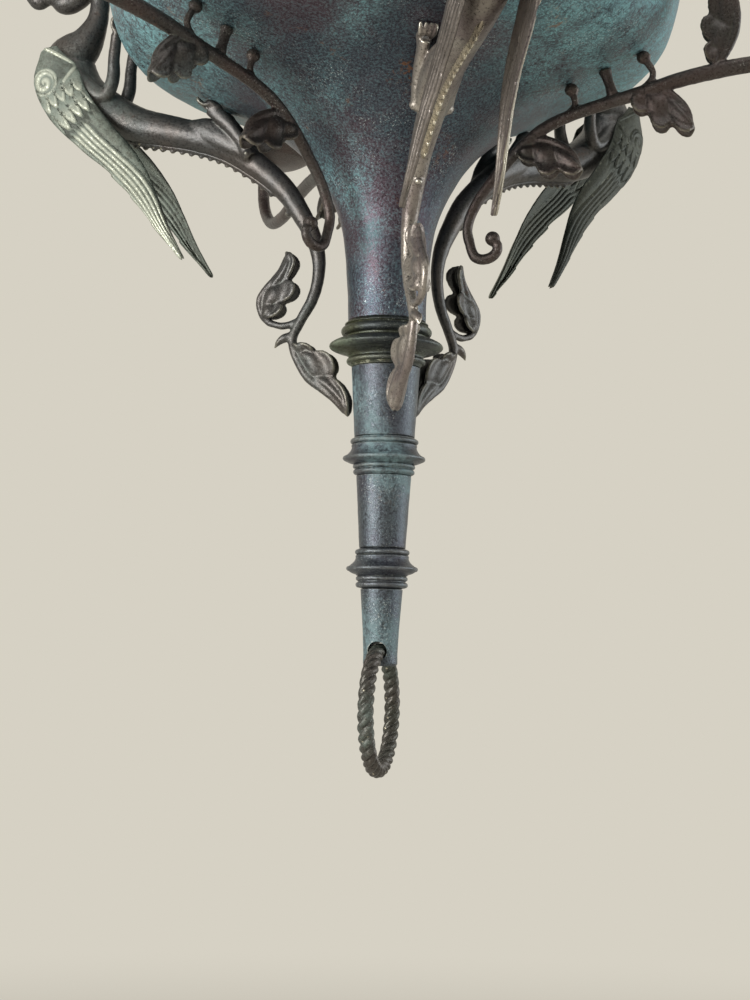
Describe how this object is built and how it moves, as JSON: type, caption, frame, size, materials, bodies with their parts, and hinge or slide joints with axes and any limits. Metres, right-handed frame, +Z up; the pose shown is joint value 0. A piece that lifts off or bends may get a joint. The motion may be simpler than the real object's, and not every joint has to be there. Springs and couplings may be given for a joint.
{
  "type": "bronze chandelier",
  "caption": "Hanging bronze chandelier: hollow vase on a turned stem with a rope-twist pull ring, clinging winged dragons and leafy branches with candle cups.",
  "frame": {"origin": "crown of the suspension eye, where the hook bears", "axes": "+Z up along the tie rod; -Y is the front, through the middle of one dragon; +X to the right seen from the front"},
  "size_m": [0.6822, 0.6032, 0.6802],
  "materials": {
    "vase_bronze": "dark bronze under turquoise verdigris speckle, fine pitting and reddish-brown spots",
    "stem_bronze": "satin grey-blue patinated bronze with pale speckles",
    "collar_bronze": "dark bronze with a green-gold tint left in the hollows",
    "loop_bronze": "dark brown patinated bronze, rubbed on the wearing face",
    "ring_bronze": "dark brown bronze, strands rubbed bright on their crowns",
    "dragon_bronze": "reddish dark brown bronze with golden rubbed highlights",
    "wing_bronze": "grey-green patinated bronze with pale rubbed feather edges",
    "branch_bronze": "reddish dark brown patinated bronze",
    "pan_bronze": "dark patinated bronze, duller inside the dish",
    "cup_bronze": "dark patinated bronze, rubbed at the rim",
    "steel": "plain dull steel"
  },
  "bodies": {
    "chandelier": {"lower_bowl": "vase_bronze", "upper_dome": "vase_bronze", "stem_tip": "stem_bronze", "low_knop": "stem_bronze", "low_stem": "stem_bronze", "middle_knop": "stem_bronze", "high_stem": "stem_bronze", "top_stem": "stem_bronze", "neck_collar": "collar_bronze", "crown_collar": "collar_bronze", "suspension_loop": "loop_bronze", "dragon_1": "dragon_bronze", "dragon_2": "dragon_bronze", "dragon_3": "dragon_bronze", "dragon_1_left_wing": "wing_bronze", "dragon_1_right_wing": "wing_bronze", "dragon_2_left_wing": "wing_bronze", "dragon_2_right_wing": "wing_bronze", "dragon_3_left_wing": "wing_bronze", "dragon_3_right_wing": "wing_bronze", "branch_1": "branch_bronze", "branch_2": "branch_bronze", "branch_3": "branch_bronze", "drip_pan_1": "pan_bronze", "drip_pan_2": "pan_bronze", "drip_pan_3": "pan_bronze", "candle_cup_1": "cup_bronze", "candle_cup_2": "cup_bronze", "candle_cup_3": "cup_bronze", "tie_rod": "steel", "dragon_1_left_screw": "steel", "dragon_1_right_screw": "steel", "dragon_2_left_screw": "steel", "dragon_2_right_screw": "steel", "dragon_3_left_screw": "steel", "dragon_3_right_screw": "steel", "branch_1_screw": "steel", "branch_2_screw": "steel", "branch_3_screw": "steel"},
    "pull_ring": {"pull_ring": "ring_bronze"}
  },
  "joints": [
    {"name": "pull_ring_swing", "type": "hinge", "parent": "chandelier", "child": "pull_ring", "pos_m": [0, 0, -0.6076], "axis": [-0.4695, -0.8829, 0], "range_deg": [-160, 160]}
  ]
}
